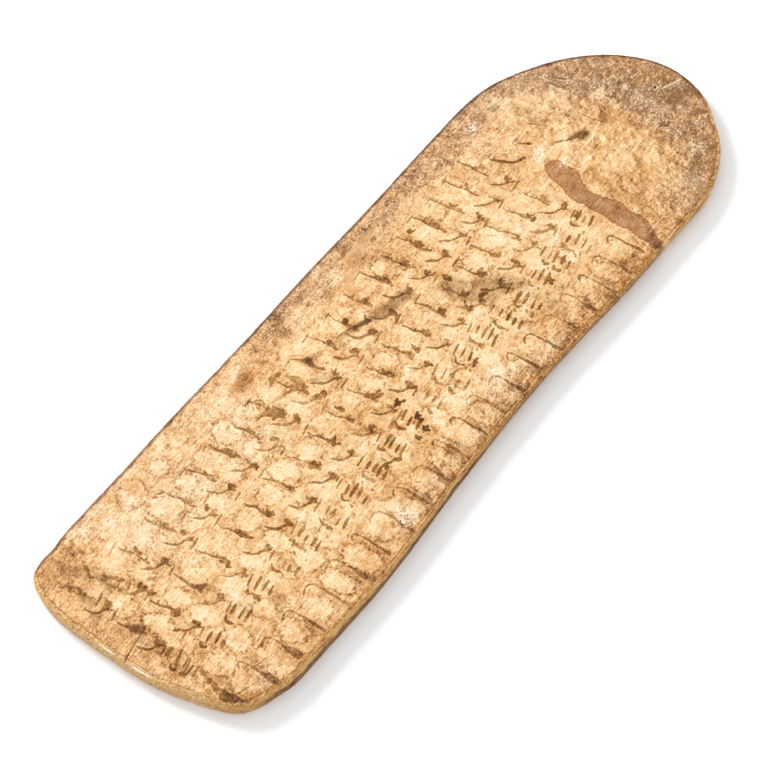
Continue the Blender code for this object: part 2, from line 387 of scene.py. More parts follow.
# Single strokes: how strong, how ragged, and the points that each runs through.
for strength, ragged, *points in (
    (0.55, STEADY, (-45, 144.5, 0.9), (-38, 147.5, 1.1), (-31, 152, 0.9), (-28, 159, 1.3)),
    (0.45, STEADY, (-38, 166, 0.7), (-31, 171, 0.8)),
    (0.34, 0.4, (38, -257, 0.7), (48, -259, 1.3), (58, -262, 1.5), (66, -262, 1.6), (71, -260, 0.9)),
    (0.4, 0.5, (62, -262, 0.2), (66, -250, 0.35), (68, -243, 0.15)),
    (0.4, 0.5, (71, -261, 0.2), (77, -256, 0.35), (80, -248, 0.15)),
    (0.4, 0.5, (60, -240, 0.15), (62, -233, 0.3), (63, -228, 0.15)),
    (0.4, 0.5, (70, -232, 0.15), (73, -226, 0.25), (74, -222, 0.15)),
    (0.25, STEADY, (-43, 183, 0.5), (-30, 190, 0.6)),
    (0.3, 0.5, (-7.5, 200, 1), (-8.5, 197.5, 2.6), (-11.5, 194, 2), (-12.5, 190.5, 1)),
    (0.42, STEADY, (-12.5, 190.5, 0.9), (-14.5, 187, 0.5), (-16.5, 185, 0.8), (-19, 181, 0.6)),
    (0.36, 0.4, (-51, -79, 1), (-54, -74, 1.3), (-51.5, -69, 1.5)),
    (0.33, 0.5, (-47, -68, 0.9), (-40, -66, 2), (-35, -68.5, 2.4), (-32, -66, 0.9)),
    (0.22, 0.4, (-37.5, -71, 1), (-41, -82, 0.7), (-44, -92, 0.5)),
    (0.42, 0.5, (-32, -90, 2), (-36.5, -93, 3), (-41, -96, 1.2), (-42, -105, 0.5)),
    (0.35, 0.3, (-44, -94, 0.5), (-49, -91, 0.5), (-52, -96, 0.5), (-48, -100, 0.4)),
    (0.48, 0.5, (-31.5, -3, 0.8), (-34, -9, 1.2), (-37, -15, 0.7), (-40, -25, 0.4)),
    (0.32, STEADY, (-53, 225, 0.5), (-44, 229, 0.7)),
    (0.32, STEADY, (-49, 220, 0.6), (-42, 222, 0.6), (-38, 229, 0.5)),
    (0.22, STEADY, (-22, 211, 0.4), (-12, 212, 0.5), (-5, 214, 0.8)),
    (0.28, STEADY, (46, 214, 0.4), (60, 216, 0.4), (74, 217, 0.4)),
):
    ink.stroke(points, strength, ragged)
NAIL_HOLE = (7.0, 259.5)
ink.dab(*NAIL_HOLE, 1.0, 1.0)
for x, y in ((11, 231), (-20, 217), (40, 213), (2, -54), (50, -90), (-14, 162), (33, -5)):
    ink.dab(x, y, 0.45, 0.85)


# Tracks: fine pale scratches along the board, and a smooth strip that bends where something was wiped away.
# They are laid down on a map of their own, like the writing.
tracks = BoardMap(3.0)
tracks.stroke([
    (-72, 56, 1.2), (-72.5, 46, 3.2), (-70.5, 36, 4), (-66, 22, 4.2), (-57, 9, 3.8), (-46, 3, 2.6),
    (-38, 1, 1),
], 1.0, 0.12)
for bright, *scratch in (
    (0.5, (11.5, 261.5, 0.3), (14, 268, 0.5), (17, 275.5, 0.3)),
    (0, (-62, 148, 0.2), (-61.5, 126, 0.3), (-62, 104, 0.2)),
    (0, (-52.5, 112, 0.3), (-52, 92, 0.35), (-51.5, 76, 0.2)),
    (0, (-57.5, 60, 0.2), (-57, 40, 0.3), (-56.5, 22, 0.2)),
    (0, (-73.5, -46, 0.2), (-74, -68, 0.3), (-73.5, -90, 0.2)),
    (0, (-29, 118, 0.2), (-29, 100, 0.3), (-28.5, 84, 0.2)),
    (0, (0.6, -268, 0.2), (0.8, -272, 0.3), (1, -276, 0.2)),
    (0, (66.5, -229, 0.2), (67.5, -223, 0.35), (68, -218, 0.2)),
    (0, (70, -238, 0.2), (72, -231, 0.35), (73.5, -225, 0.2)),
    (0, (68, -251, 0.2), (71.5, -245, 0.35), (74, -239, 0.2)),
    (0, (64, -241, 0.2), (66, -236, 0.3), (67, -231, 0.2)),
    (0.5, (51, -222, 0.2), (50, -217, 0.35), (49.5, -213, 0.2)),
    (0.5, (54, -226, 0.2), (53.4, -222, 0.3), (53, -218, 0.2)),
):
    tracks.stroke(scratch, bright, 0.8)


# The plank: hewn from one piece of pale wood. It is the solid's own skin, cut finer: into triangles half a
# millimetre long beside the ink, and into larger ones where the wood is bare.
CELL = 4.0 * MM
FLAT_ENOUGH = 0.985
FACE_SMOOTHINGS = 14
FINEST = 0.6
COARSEST = 2.9
RIM_LENGTH = 1.6
BACK_LENGTH = 4.2
LONGER_THAN_WANTED = 1.45
SPECK = 0.05 * MM
SAME_SPOT = 1e-6
CUT_REACH = 1e-7
NEARLY_FLAT = math.radians(4.0)
FACING_UP = 0.97
FACING_DOWN = -0.9
LONGER_BY_THE_GAP = 1.6
RIM_TILT = 0.96
RIM_FOOT = 0.5 * MM
WALL_TILT = 0.02
WALL_TOP = 9.2 * MM
MOST_ROUNDS = 24
RIM_SMOOTHINGS = 3


def lies_flat(edge):
    """True for an edge inside the written face or the underside."""
    return len(edge.link_faces) == 2 and all(abs(face.normal.z) > FLAT_ENOUGH for face in edge.link_faces)


def clear_flat_faces(shape):
    """Takes out the edges that run over the written face and the underside."""
    flat = [edge for edge in shape.edges if lies_flat(edge)]
    bmesh.ops.dissolve_limit(shape, angle_limit=NEARLY_FLAT, edges=flat, verts=[])


def cut_across(shape, axis):
    """Cuts right through the plank at even steps along an axis."""
    direction = [0.0, 0.0, 0.0]
    direction[axis] = 1.0
    for place in np.arange(cad_box[0][axis] + CELL / 2, cad_box[1][axis], CELL):
        everything = shape.verts[:] + shape.edges[:] + shape.faces[:]
        point = [place if index == axis else 0.0 for index in range(3)]
        bmesh.ops.bisect_plane(shape, geom=everything, dist=CUT_REACH, plane_co=point, plane_no=direction)


def crown_again(shape, skin):
    """Puts the cleared face back on the solid's skin and evens out the low ridges there."""
    face_verts = [
        vert for vert in shape.verts if all(face.normal.z > FLAT_ENOUGH for face in vert.link_faces)
    ]
    for vert in face_verts:
        vert.co.z = skin.find_nearest(vert.co)[0].z
    for _ in range(FACE_SMOOTHINGS):
        bmesh.ops.smooth_vert(shape, verts=face_verts, factor=0.5, use_axis_z=True)


def wanted_length(edge):
    """How long an edge may be, in millimetres."""
    normals = [vert.normal.z for vert in edge.verts]
    if max(normals) < FACING_DOWN:
        return BACK_LENGTH
    if min(normals) < FACING_UP:
        return RIM_LENGTH
    middle = (edge.verts[0].co + edge.verts[1].co) / (2.0 * MM)
    column = int((middle.x - ink.left) / MAP_STEP)
    line = int((middle.y - ink.bottom) / MAP_STEP)
    nearest = min(abs(ink.distance[line, column] + 0.1), abs(tracks.distance[line, column]))
    return min(COARSEST, max(FINEST, LONGER_BY_THE_GAP * nearest))


def refine(shape, rounds):
    """Halves every edge that is too long for its place: the longest of its triangle, one a triangle."""
    for _ in range(rounds):
        shape.normal_update()
        shape.edges.index_update()
        shape.faces.index_update()
        shape.edges.ensure_lookup_table()
        lengths = [edge.calc_length() / MM for edge in shape.edges]
        limits = [LONGER_THAN_WANTED * wanted_length(edge) for edge in shape.edges]
        longest = set()
        for face in shape.faces:
            around = [edge.index for edge in face.edges]
            if any(lengths[index] > limits[index] for index in around):
                longest.add(max(around, key=lengths.__getitem__))
        taken = set()
        halved = []
        for index in sorted(longest, key=lambda place: (-lengths[place], place)):
            away_from_light = [face.index for face in shape.edges[index].link_faces]
            if taken.isdisjoint(away_from_light):
                taken.update(away_from_light)
                halved.append(shape.edges[index])
        if not halved:
            break
        bmesh.ops.subdivide_edges(shape, edges=halved, cuts=1, use_single_edge=True)


plank = bmesh.new()
plank.from_mesh(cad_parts["board"].data)
bmesh.ops.remove_doubles(plank, verts=plank.verts, dist=SAME_SPOT)
solid_skin = BVHTree.FromBMesh(plank)
clear_flat_faces(plank)
cut_across(plank, 0)
cut_across(plank, 1)
bmesh.ops.remove_doubles(plank, verts=plank.verts, dist=SPECK)
left_over = [vert for vert in plank.verts if not vert.link_faces]
bmesh.ops.delete(plank, geom=left_over, context="VERTS")
crown_again(plank, solid_skin)
bmesh.ops.triangulate(plank, faces=plank.faces)
refine(plank, MOST_ROUNDS)
rim_verts = [vert for vert in plank.verts if abs(vert.normal.z) < RIM_TILT and vert.co.z > RIM_FOOT]
for _ in range(RIM_SMOOTHINGS):
    bmesh.ops.smooth_vert(
        plank, verts=rim_verts, factor=0.4, use_axis_x=True, use_axis_y=True, use_axis_z=True,
    )

board = bpy.data.objects.new("writing_board", bpy.data.meshes.new("writing_board"))
plank.to_mesh(board.data)
room.collection.objects.link(board)


def vertex_values(name, width):
    """One row of numbers for each vertex of the board."""
    values = np.empty(len(board.data.vertices) * width)
    board.data.vertices.foreach_get(name, values)
    return values.reshape(-1, width)


spots = vertex_values("co", 3) / MM
facing = vertex_values("normal", 3)
x, y, z = spots.T
up = np.clip(facing[:, 2], 0.0, 1.0)

outline = KDTree(len(spots))
for polygon in board.data.polygons:
    if abs(polygon.normal.z) < WALL_TILT and polygon.center.z < WALL_TOP:
        for index in polygon.vertices:
            spot = spots[index]
            outline.insert((spot[0], spot[1], 0.0), index)
outline.balance()
from_edge = np.array([outline.find((spot[0], spot[1], 0.0))[2] for spot in spots])


# Age: the board was washed and rewritten many times, so round drops of wash dried on it in pale pillows with
# brown outlines. A brown spill runs below the head, and soot, chalk, grime and rubbed wood lie over it all.
# Each of these is a value for every vertex of the board.
def step(value, low, high):
    """0 below low, 1 above high and an even bend between them. High may be the smaller one."""
    share = np.clip((value - low) / (high - low), 0.0, 1.0)
    return share * share * (3.0 - 2.0 * share)


def patch(at_x, at_y, wide, tall, turn=0.0):
    """A soft round or oval patch, 1 at its middle."""
    turn = math.radians(turn)
    along = (x - at_x) * math.cos(turn) + (y - at_y) * math.sin(turn)
    over = (y - at_y) * math.cos(turn) - (x - at_x) * math.sin(turn)
    return np.exp(-((along / wide) ** 2) - (over / tall) ** 2)


def patches(*rows):
    """Soft patches added up: how strong each is, its middle, how wide and tall it is, and its turn."""
    return sum(strength * patch(*place) for strength, *place in rows)


def spread_out(layer, reach):
    """The layer blurred evenly over that many millimetres."""
    width = int(reach / MAP_STEP)
    kernel = np.exp(-(np.linspace(-2.0, 2.0, 2 * width + 1) ** 2))
    for axis in (0, 1):
        layer = np.apply_along_axis(np.convolve, axis, layer, kernel / kernel.sum(), "same")
    return layer


wetness = np.clip(0.5 - ink.distance / 0.8, 0.0, 1.0) * ink.strength
bleeding = 1.15 * spread_out(wetness, 4.0) + spread_out(wetness, 11.0)
bled = ink.read(np.clip(bleeding, 0.0, 1.0), x, y)

wash = BoardMap(9.0)
wash_hand = random.Random(4)
for row in range(ROW_COUNT - 2):
    for column in (66.0, 42.0, 19.0, -5.0, -28.0, -50.0):
        at = column + wash_hand.uniform(-3.0, 3.0)
        level = row_y(row + 0.5, at) + wash_hand.uniform(-2.0, 2.0)
        half = wash_hand.uniform(6.5, 9.0)
        reach = wash_hand.uniform(0.5, 3.5) + (1.5 if column > 60.0 else 0.0)
        strong = wash_hand.uniform(0.15, 1.0) * (1.0 if row < 9 or column > 60.0 else 0.7)
        tilt = wash_hand.uniform(-1.5, 2.5)
        wash.stroke([(at - reach, level, half), (at + reach, level + tilt, half)], strong, 0.0)
for at, level, half, strong in (
    (-70, -190, 9.5, 0.6), (-68, -166, 7, 0.6), (-70, -232, 8, 0.6), (-73, -145, 6, 0.4), (-10, 2, 8, 0.9),
    (-72, 118, 9, 0.35), (-66, 85, 9, 0.3), (-70, -30, 11, 0.4), (-60, -50, 8, 0.4), (25, 195, 10, 0.4),
    (0, 205, 11, 0.45), (-28, 196, 8, 0.4), (40, 182, 7, 0.35),
):
    wash.dab(at, level, half, strong)

spill = BoardMap(4.0)
spill.stroke([
    (4, 163, 7.9), (10, 159.5, 7.4), (19, 157, 6.5), (31, 157.5, 6.7), (42, 159.5, 7.6), (51, 158.5, 6.7),
    (61, 159.5, 6.4), (70, 157, 5), (79, 154.5, 3.2), (90, 152.5, 2.4),
], 1.0, 0.05)
spill.stroke([(-5.5, 163, 7.6), (3, 163.5, 7.4)], 0.84, 0.05)

smear = BoardMap(7.0)
for strong, ragged, *points in (
    (0.46, 0.2, (-25, 28, 3.6), (-27, 14, 4.6), (-30, 2, 3.8), (-33, -6, 2)),
    (0.6, 0.4, (-32, -4, 1.6), (-35, -13, 1.8), (-38, -24, 0.7), (-40, -36, 0.2), (-43, -47, 1.6),
     (-45, -52, 2.6)),
    (0.33, 0.2, (-10, 46, 5), (2, 50, 8.5), (13, 59, 8.5), (21, 71, 6), (30, 78, 3)),
    (0.16, 0.3, (36, 74, 2), (50, 76, 4), (64, 74, 3)),
    (0.18, 0.4, (-60, 189, 2.5), (-50, 191, 3), (-42, 194, 2)),
    (0.2, 0.5, (-46, 180, 1.4), (-36, 190, 2.2), (-26, 201, 1.2)),
    (0.18, 0.5, (-12, 178, 1), (-2, 180, 1.6), (4, 191, 0.8)),
    (0.15, 0.5, (16, 179, 1.2), (30, 185, 2.2), (44, 181, 1.4)),
    (0.16, 0.5, (-28, 206, 1.2), (-14, 209, 1.8), (2, 214, 1)),
    (0.13, 0.5, (10, 207, 1), (22, 201, 2), (32, 192, 1)),
    (0.2, 0.4, (-8, 218, 0.8), (-4, 216, 1.2), (0, 216, 0.6)),
    (0.55, 0.4, (-7, 200.5, 1.6), (-9, 197, 3.8), (-12, 193, 2.8), (-13.5, 189, 1.2)),
    (0.16, 0.5, (-67, -82, 2.4), (-66, -89, 4), (-66.5, -95, 2)),
    (0.2, 0.5, (-68.5, -71, 1.5), (-65, -69, 2.6), (-62, -66, 1.6)),
    (0.6, 0.3, (72, 156, 1.5), (80, 154, 3), (90, 152, 4)),
    (0.3, 0.4, (-22, -49, 1.4), (-30, -57, 2.6), (-33, -62, 0.9)),
):
    smear.stroke(points, strong, ragged)
for at, level, half in (
    (-47, -244, 3), (-40, -247, 2.5), (-44, -262, 3), (-34, -266, 2.5), (-9, -259, 3.2), (-2, -263, 2.2),
    (-60, -250, 2), (30, -262, 2),
):
    points = [(at - 4.0, level - 1.0, 0.6 * half), (at, level, half), (at + 4.0, level + 0.5, 0.5 * half)]
    smear.stroke(points, 0.3, 0.5)
for row in range(ROW_COUNT + 1):
    for column in range(-60, 80, 14):
        at, level = column + wash_hand.uniform(-6.0, 6.0), row_y(row, column) + wash_hand.uniform(-9.0, 9.0)
        reach, rise = wash_hand.uniform(1.0, 5.0), wash_hand.uniform(-2.5, 3.5)
        half = wash_hand.uniform(0.5, 1.5)
        start, end = (at - reach, level, 0.6 * half), (at + reach, level + rise, 0.7 * half)
        smear.stroke([start, (at, level + 0.3 * rise, half), end], wash_hand.uniform(0.06, 0.2), 0.6)
for row in range(3, ROW_COUNT - 3):
    at, level = 77.0 + wash_hand.uniform(-3.0, 3.0), row_y(row, 77.0) + wash_hand.uniform(-1.0, 3.0)
    half = wash_hand.uniform(1.5, 3.5)
    points = [(at - 6.0, level - 1.0, 0.6 * half), (at, level, half), (at + 5.0, level - 1.0, 0.7 * half)]
    smear.stroke(points, wash_hand.uniform(0.12, 0.26), 0.4)

# Where each of them lies, as even steps across the board and soft patches. The head begins at an arch. Crust
# is crumbly dirt, ashen wood has gone grey and ochre wood yellow, and crumpled dirt stands in small folds.
# The rim is rubbed or golden where hands wore it, and its wall is given painted shade up to a level in
# millimetres.
head = step(y + 0.006 * (x - 4.0) ** 2, 214.0, 244.0)
right_side = step(x, 54.0, 74.0)
left_side = step(x, -56.0, -70.0)
crust = (
    0.85 * head + 0.7 * step(x, 38, 60) * step(y, 160, 185) + 0.6 * step(x, 48, 74) * step(y, -140, -90)
    + 0.2 * step(y, -236, -262)
    + left_side * (0.08 + 0.2 * step(y, -130, -60) + 0.05 * step(y, 10, 60))
    + patches(
        (-0.3, -74, -245, 11, 14), (0.3, 66, -254, 13, 8, 30), (0.3, -45, 210, 34, 18), (0.5, 72, 0, 14, 45),
        (0.4, 74, -75, 8, 22), (0.5, -50, -246, 16, 8),
    )
)
ashen = (
    0.56 * left_side * step(y, -100, -20) + 0.5 * head + 0.55 * right_side * patch(70, 20, 40, 70)
    + 0.45 * step(x, 0, -40) * step(y, -60, -110) * step(y, -240, -215)
    + patches(
        (0.12, -10, 40, 60, 70), (0.3, 20, 118, 40, 24), (0.5, -45, 215, 35, 30), (0.5, 6, 244, 26, 14),
        (0.7, -77, -228, 7, 7), (0.5, 56, 12, 10, 15), (0.6, 69, -240, 9, 14), (0.35, -66, -198, 6, 4),
        (0.3, 74, 195, 14, 36), (0.4, 74, -70, 8, 24), (0.4, -50, 150, 20, 30),
    )
)
ochre = 0.2 * step(y, -230, -262) + patches(
    (1.3, -66, -88, 5.5, 9.5), (0.6, -65, -68, 4.5, 4, 30), (0.5, -55, -5, 3, 2, 30), (0.4, 64, 60, 12, 20),
    (0.45, 30, 172, 40, 6), (0.5, 60, -90, 18, 10), (0.5, 70, 118, 14, 22), (0.3, 20, -60, 40, 20),
    (0.15, 66, -240, 18, 14), (0.25, 55, -170, 25, 60), (0.6, -70, -187, 7, 8), (0.4, -64, 26, 4, 20, -20),
)
chalk = patches(
    (0.9, 56, 12, 8, 14), (0.95, 70, 52, 7, 7), (0.8, 73, -72, 5, 4), (1.5, 70, -103, 9, 7),
    (0.8, -70, -120, 6, 6), (1.8, -22, 167, 4.6, 9, 20), (2.2, -4, 170.5, 3, 3.2),
    (1.2, *NAIL_HOLE, 3.2, 3.2), (0.9, -82, 5, 4, 5), (1.15, -70, 158, 6, 5), (0.45, 58, 238, 10, 12),
    (0.5, 4, 246, 14, 7), (0.8, 16, 268, 1.6, 8, -20), (0.45, -28, 238, 5, 6), (0.5, -52, 224, 10, 8),
    (0.45, 25, 238, 12, 8), (0.35, 76, 185, 6, 16), (0.35, 60, 195, 12, 14), (0.5, 30, -192, 6, 4),
    (0.6, 74, -235, 5, 12), (0.5, 50, -218, 2, 9), (0.4, 58, 128, 20, 10),
)
paleness = (
    0.565 + 0.04 * step(y, -60, -120) - 0.05 * step(y, 150, 175) - 0.22 * head - 0.13 * step(y, -226, -256)
    - right_side * (0.06 + 0.07 * step(y, 175, 140) * step(y, -250, -120))
    - left_side * (0.055 + 0.155 * step(y, -100, -50)) - 0.02 * step(x, -74, -84)
    - 0.01 * step(x, -48, -62) * step(y, -90, -140)
    + patches(
        (-0.08, -30, 215, 36, 14), (-0.1, 72, 140, 16, 20), (0.09, -62, 214, 20, 26),
        (0.07, 20, 132, 44, 13), (-0.06, -30, 34, 30, 18), (-0.05, 62, -212, 20, 36),
        (-0.06, 0, -212, 20, 10), (0.05, 30, -150, 12, 34), (0.05, -42, -100, 16, 16),
        (-0.1, 10, 230, 12, 10), (0.12, -14, 230, 14, 10), (0.14, 14, 108, 32, 24),
        (0.1, 36, 28, 22, 18), (0.13, 56, 12, 7, 13), (0.14, 70, 52, 6, 6), (0.1, 72, -30, 6, 8),
        (-0.02, -15, 10, 20, 16), (0.06, -58, -30, 14, 30), (-0.01, 20, -66, 50, 22),
        (-0.06, 30, 172, 50, 8), (-0.08, -76, 70, 3, 60), (0.04, -69, 70, 3, 30),
        (-0.1, -75, -247, 9, 9), (-0.06, -68, -258, 10, 9), (0.26, -77, -228, 6, 5.5),
        (-0.26, -66, -88, 5, 9), (-0.06, -70, -190, 8, 9), (-0.06, 4, 51, 15, 7, 30),
        (0.1, -57, -49, 14, 4, 55), (-0.08, 10, 268, 30, 14), (-0.06, 45, -85, 40, 10),
        (0.06, -70, -110, 14, 20), (0.05, -60, -215, 20, 16), (0.17, -66, 218, 16, 26),
        (0.09, -72, 175, 10, 16), (-0.12, -50, 180, 11, 16), (0.1, 50, 229, 14, 11),
        (-0.09, 0, 150, 18, 9), (0.09, 60, 126, 18, 14), (0.08, -72, 92, 10, 14),
        (-0.09, -20, 88, 18, 10), (-0.1, 50, 90, 10, 9), (-0.08, -36, 46, 28, 22),
        (0.1, 30, 28, 11, 11), (-0.12, 70, 28, 10, 10), (-0.1, -50, -44, 11, 14),
        (0.13, 20, -52, 19, 10), (-0.08, -10, -70, 10, 9), (0.08, 30, -134, 10, 14),
        (-0.08, 50, -150, 9, 9), (0.08, 8, -170, 24, 9), (-0.06, -48, -165, 10, 14),
        (-0.08, 52, -190, 12, 9), (-0.07, -8, -211, 16, 9), (-0.1, 54, -230, 10, 9),
        (-0.1, 70, -250, 9, 9), (-0.06, -30, -272, 30, 6), (-0.14, -52.5, 66, 4.5, 44),
        (-0.13, -53, 148, 6, 18), (-0.11, -58, 188, 7, 9), (0.2, -67, 195, 5, 6),
        (0.16, -77, 184, 6, 8), (-0.18, -80.5, -106, 4, 14), (0.13, -80, -58, 4, 10),
        (0.13, -76, 9, 6, 9), (-0.16, -59, 5, 4, 5), (-0.2, -52, -5, 4, 5), (-0.2, -59, -65, 4, 5),
        (0.12, -75, -180, 6, 9), (-0.14, -73, 115, 5, 8), (-0.14, -73, 52, 4, 7),
        (-0.16, -80, -225, 4, 6),
    )
)
crumpled = step(y, 160, 178) * step(y, 236, 216) * step(x, 70, 45) * step(x, -66, -50)
crumpled = np.maximum(crumpled, 0.8 * patch(-72, -252, 14, 15))
right_rim = step(x, 50, 70)
rubbed = (
    0.15 + 0.95 * step(x, 20, 50) * step(y, 150, 180) + 0.95 * step(y, -262, -270)
    + right_rim * (0.72 + step(y, -20, -60))
)
golden = (
    step(x, 58, 70) * step(y, -75, -40) * step(y, 175, 150) + 0.4 * step(x, 20, 50) * step(y, 160, 190)
    + 0.5 * right_rim * step(y, -60, -90) - 0.9 * patch(84, 156, 10, 8)
)
# Painted shade: how strongly the wall is darkened below a level that rises on the right side, where it turns
# under.
painted_wall_shade = 0.1 + 0.9 * step(x, 60, 74) * step(y, -256, -236) + 0.6 * step(x, -30, -70)
right_shade_rise = 4.2 * step(y, -30, -76) + 3.0 * step(y, -90, -40) * step(y, 178, 138)
wall_shade_level = 4.0 + step(x, 0, 30) * right_shade_rise
# A painted highlight: where a thin bright line runs along the ridge at the foot.
painted_ridge_highlight = step(x, -28, -20) * step(x, 22, 14) * step(y, -262, -270)
split_lips = patch(-3.5, -270, 6.5, 12)
wash_shown = 1.0 - 0.9 * patch(4, 54, 18, 11, 30)


# Relief: the strokes are pressed in, the face keeps the shallow hollows of the adze, the rim is chipped and
# bruised, and the underside is left rougher. Everything is cut into the wood, so nothing stands out of it.
STROKE_DEPTH = 0.13
FACE_HOLLOWS = 0.14
BACK_HOLLOWS = 0.35
RIM_BRUISES = 0.35
WAVES = 9


def swell(size, seed):
    """Low waves that cross each other, 0 in the hollows to 1, about `size` millimetres apart."""
    hand = random.Random(seed)
    total = np.zeros(len(x))
    for _ in range(WAVES):
        turn = hand.uniform(0.0, math.tau)
        pace = math.tau / (size * hand.uniform(0.7, 1.5))
        total += np.sin((x * math.cos(turn) + y * math.sin(turn)) * pace + hand.uniform(0.0, math.tau))
    return 0.5 + 0.5 * np.tanh(total / math.sqrt(WAVES))


def lumps(size, stretch, which):
    """Small uneven lumps, longer along the grain, for the chosen vertices; others stay 0."""
    found = np.zeros(len(x))
    for index in np.flatnonzero(which):
        place = Vector((x[index] / size, y[index] / (size * stretch), z[index] / size))
        found[index] = noise.fractal(place, 0.8, 2.1, 3)
    return found


ink_gap = ink.read(ink.distance, x, y)
written = step(up, 0.9, 0.97)
rim = (from_edge < 5.0) & (z > 0.4)
depth = written * FACE_HOLLOWS * (0.6 * swell(34.0, 5) + 0.4 * swell(13.0, 6))
depth += written * STROKE_DEPTH * step(ink_gap, 0.35, -0.35)
depth += split_lips * 0.25 * np.abs(swell(3.0, 8)) * written
bruises = RIM_BRUISES * np.clip(lumps(3.2, 3.0, rim), 0.0, 1.2) * step(from_edge, 5.0, 1.0)
spots[:, 2] -= depth
spots -= facing * (bruises * step(z, 0.4, 2.0))[:, None]
under = step(facing[:, 2], -0.9, -0.97)
spots[:, 2] += under * BACK_HOLLOWS * step(from_edge, 2.0, 8.0) * swell(26.0, 9)
spots[:, 2] = np.clip(spots[:, 2], 0.0, cad_box[1].z / MM)
board.data.vertices.foreach_set("co", (spots * MM).ravel())
board.data.shade_smooth()


def keep_on_board(name, values):
    """Gives every vertex a number that the finish reads by its name."""
    layer = board.data.attributes.new(name, "FLOAT", "POINT")
    layer.data.foreach_set("value", np.asarray(values, np.float32))


keep_on_board("ink_gap", ink_gap)
keep_on_board("ink_strength", ink.read(ink.strength, x, y))
for name, laid, shown in (
    ("spill", spill, 1.0), ("wash", wash, wash_shown), ("smear", smear, 1.0), ("track", tracks, 1.0),
):
    keep_on_board(name + "_gap", laid.read(laid.distance, x, y))
    keep_on_board(name + "_strength", shown * laid.read(laid.strength, x, y))
for name, values in (
    ("crust", crust), ("ashen", ashen), ("ochre", ochre), ("chalk", chalk), ("rubbed", rubbed),
    ("golden", golden), ("painted_wall_shade", painted_wall_shade),
):
    keep_on_board(name, np.clip(values, 0.0, 1.0))
for name, values in (
    ("from_edge", from_edge), ("bled", bled), ("paleness", paleness), ("crumpled", crumpled),
    ("wall_shade_level", wall_shade_level), ("painted_ridge_highlight", painted_ridge_highlight),
):
    keep_on_board(name, values)


# The finish: pale wood in clouds and streaks from brown to cream, with tan tide lines where the wash dried
# and a crumbly crust on the head and the edges. Ink, soot and the spill are stains that show the grain.
def put(tree, kind, sockets, **settings):
    """Adds a node to a tree, fills or joins its sockets, and gives the node back."""
    node = tree.nodes.new(kind)
    for name, value in settings.items():
        setattr(node, name, value)
    for name, value in sockets.items():
        if isinstance(value, Value):
            value = value.socket
        if isinstance(value, bpy.types.NodeSocket):
            tree.links.new(value, node.inputs[name])
        else:
            node.inputs[name].default_value = value
    return node


class Value:
    """A number that a node gives. Whatever is reckoned with it becomes another node of the same tree."""

    def __init__(self, tree, socket):
        self.tree = tree
        self.socket = socket

    def maths(self, operation, first, second=0.0):
        """One sum of two numbers."""
        node = put(self.tree, "ShaderNodeMath", {0: first, 1: second}, operation=operation)
        return Value(self.tree, node.outputs[0])

    def __add__(self, other):
        return self.maths("ADD", self, other)

    def __radd__(self, other):
        return self.maths("ADD", other, self)

    def __sub__(self, other):
        return self.maths("SUBTRACT", self, other)

    def __rsub__(self, other):
        return self.maths("SUBTRACT", other, self)

    def __mul__(self, other):
        return self.maths("MULTIPLY", self, other)

    def __abs__(self):
        return self.maths("ABSOLUTE", self)

    def highest(self, other):
        """The greater of two values."""
        return self.maths("MAXIMUM", self, other)

    def off(self, middle):
        """How far the value is from a middle one, on either side."""
        return abs(self - middle)

    def ragged(self, cloud, amount):
        """The value made uneven by a cloud."""
        return self + (cloud - 0.5) * amount

    def between(self, low, high, from_value=0.0, to_value=1.0):
        """A soft step from low to high."""
        sockets = {"Value": self, "From Min": low, "From Max": high}
        sockets |= {"To Min": from_value, "To Max": to_value}
        node = put(self.tree, "ShaderNodeMapRange", sockets, interpolation_type="SMOOTHSTEP")
        return Value(self.tree, node.outputs["Result"])

    def across(self, from_value, to_value):
        """From one value where the mask is empty to another where it is full."""
        return self.between(0.0, 1.0, from_value, to_value)


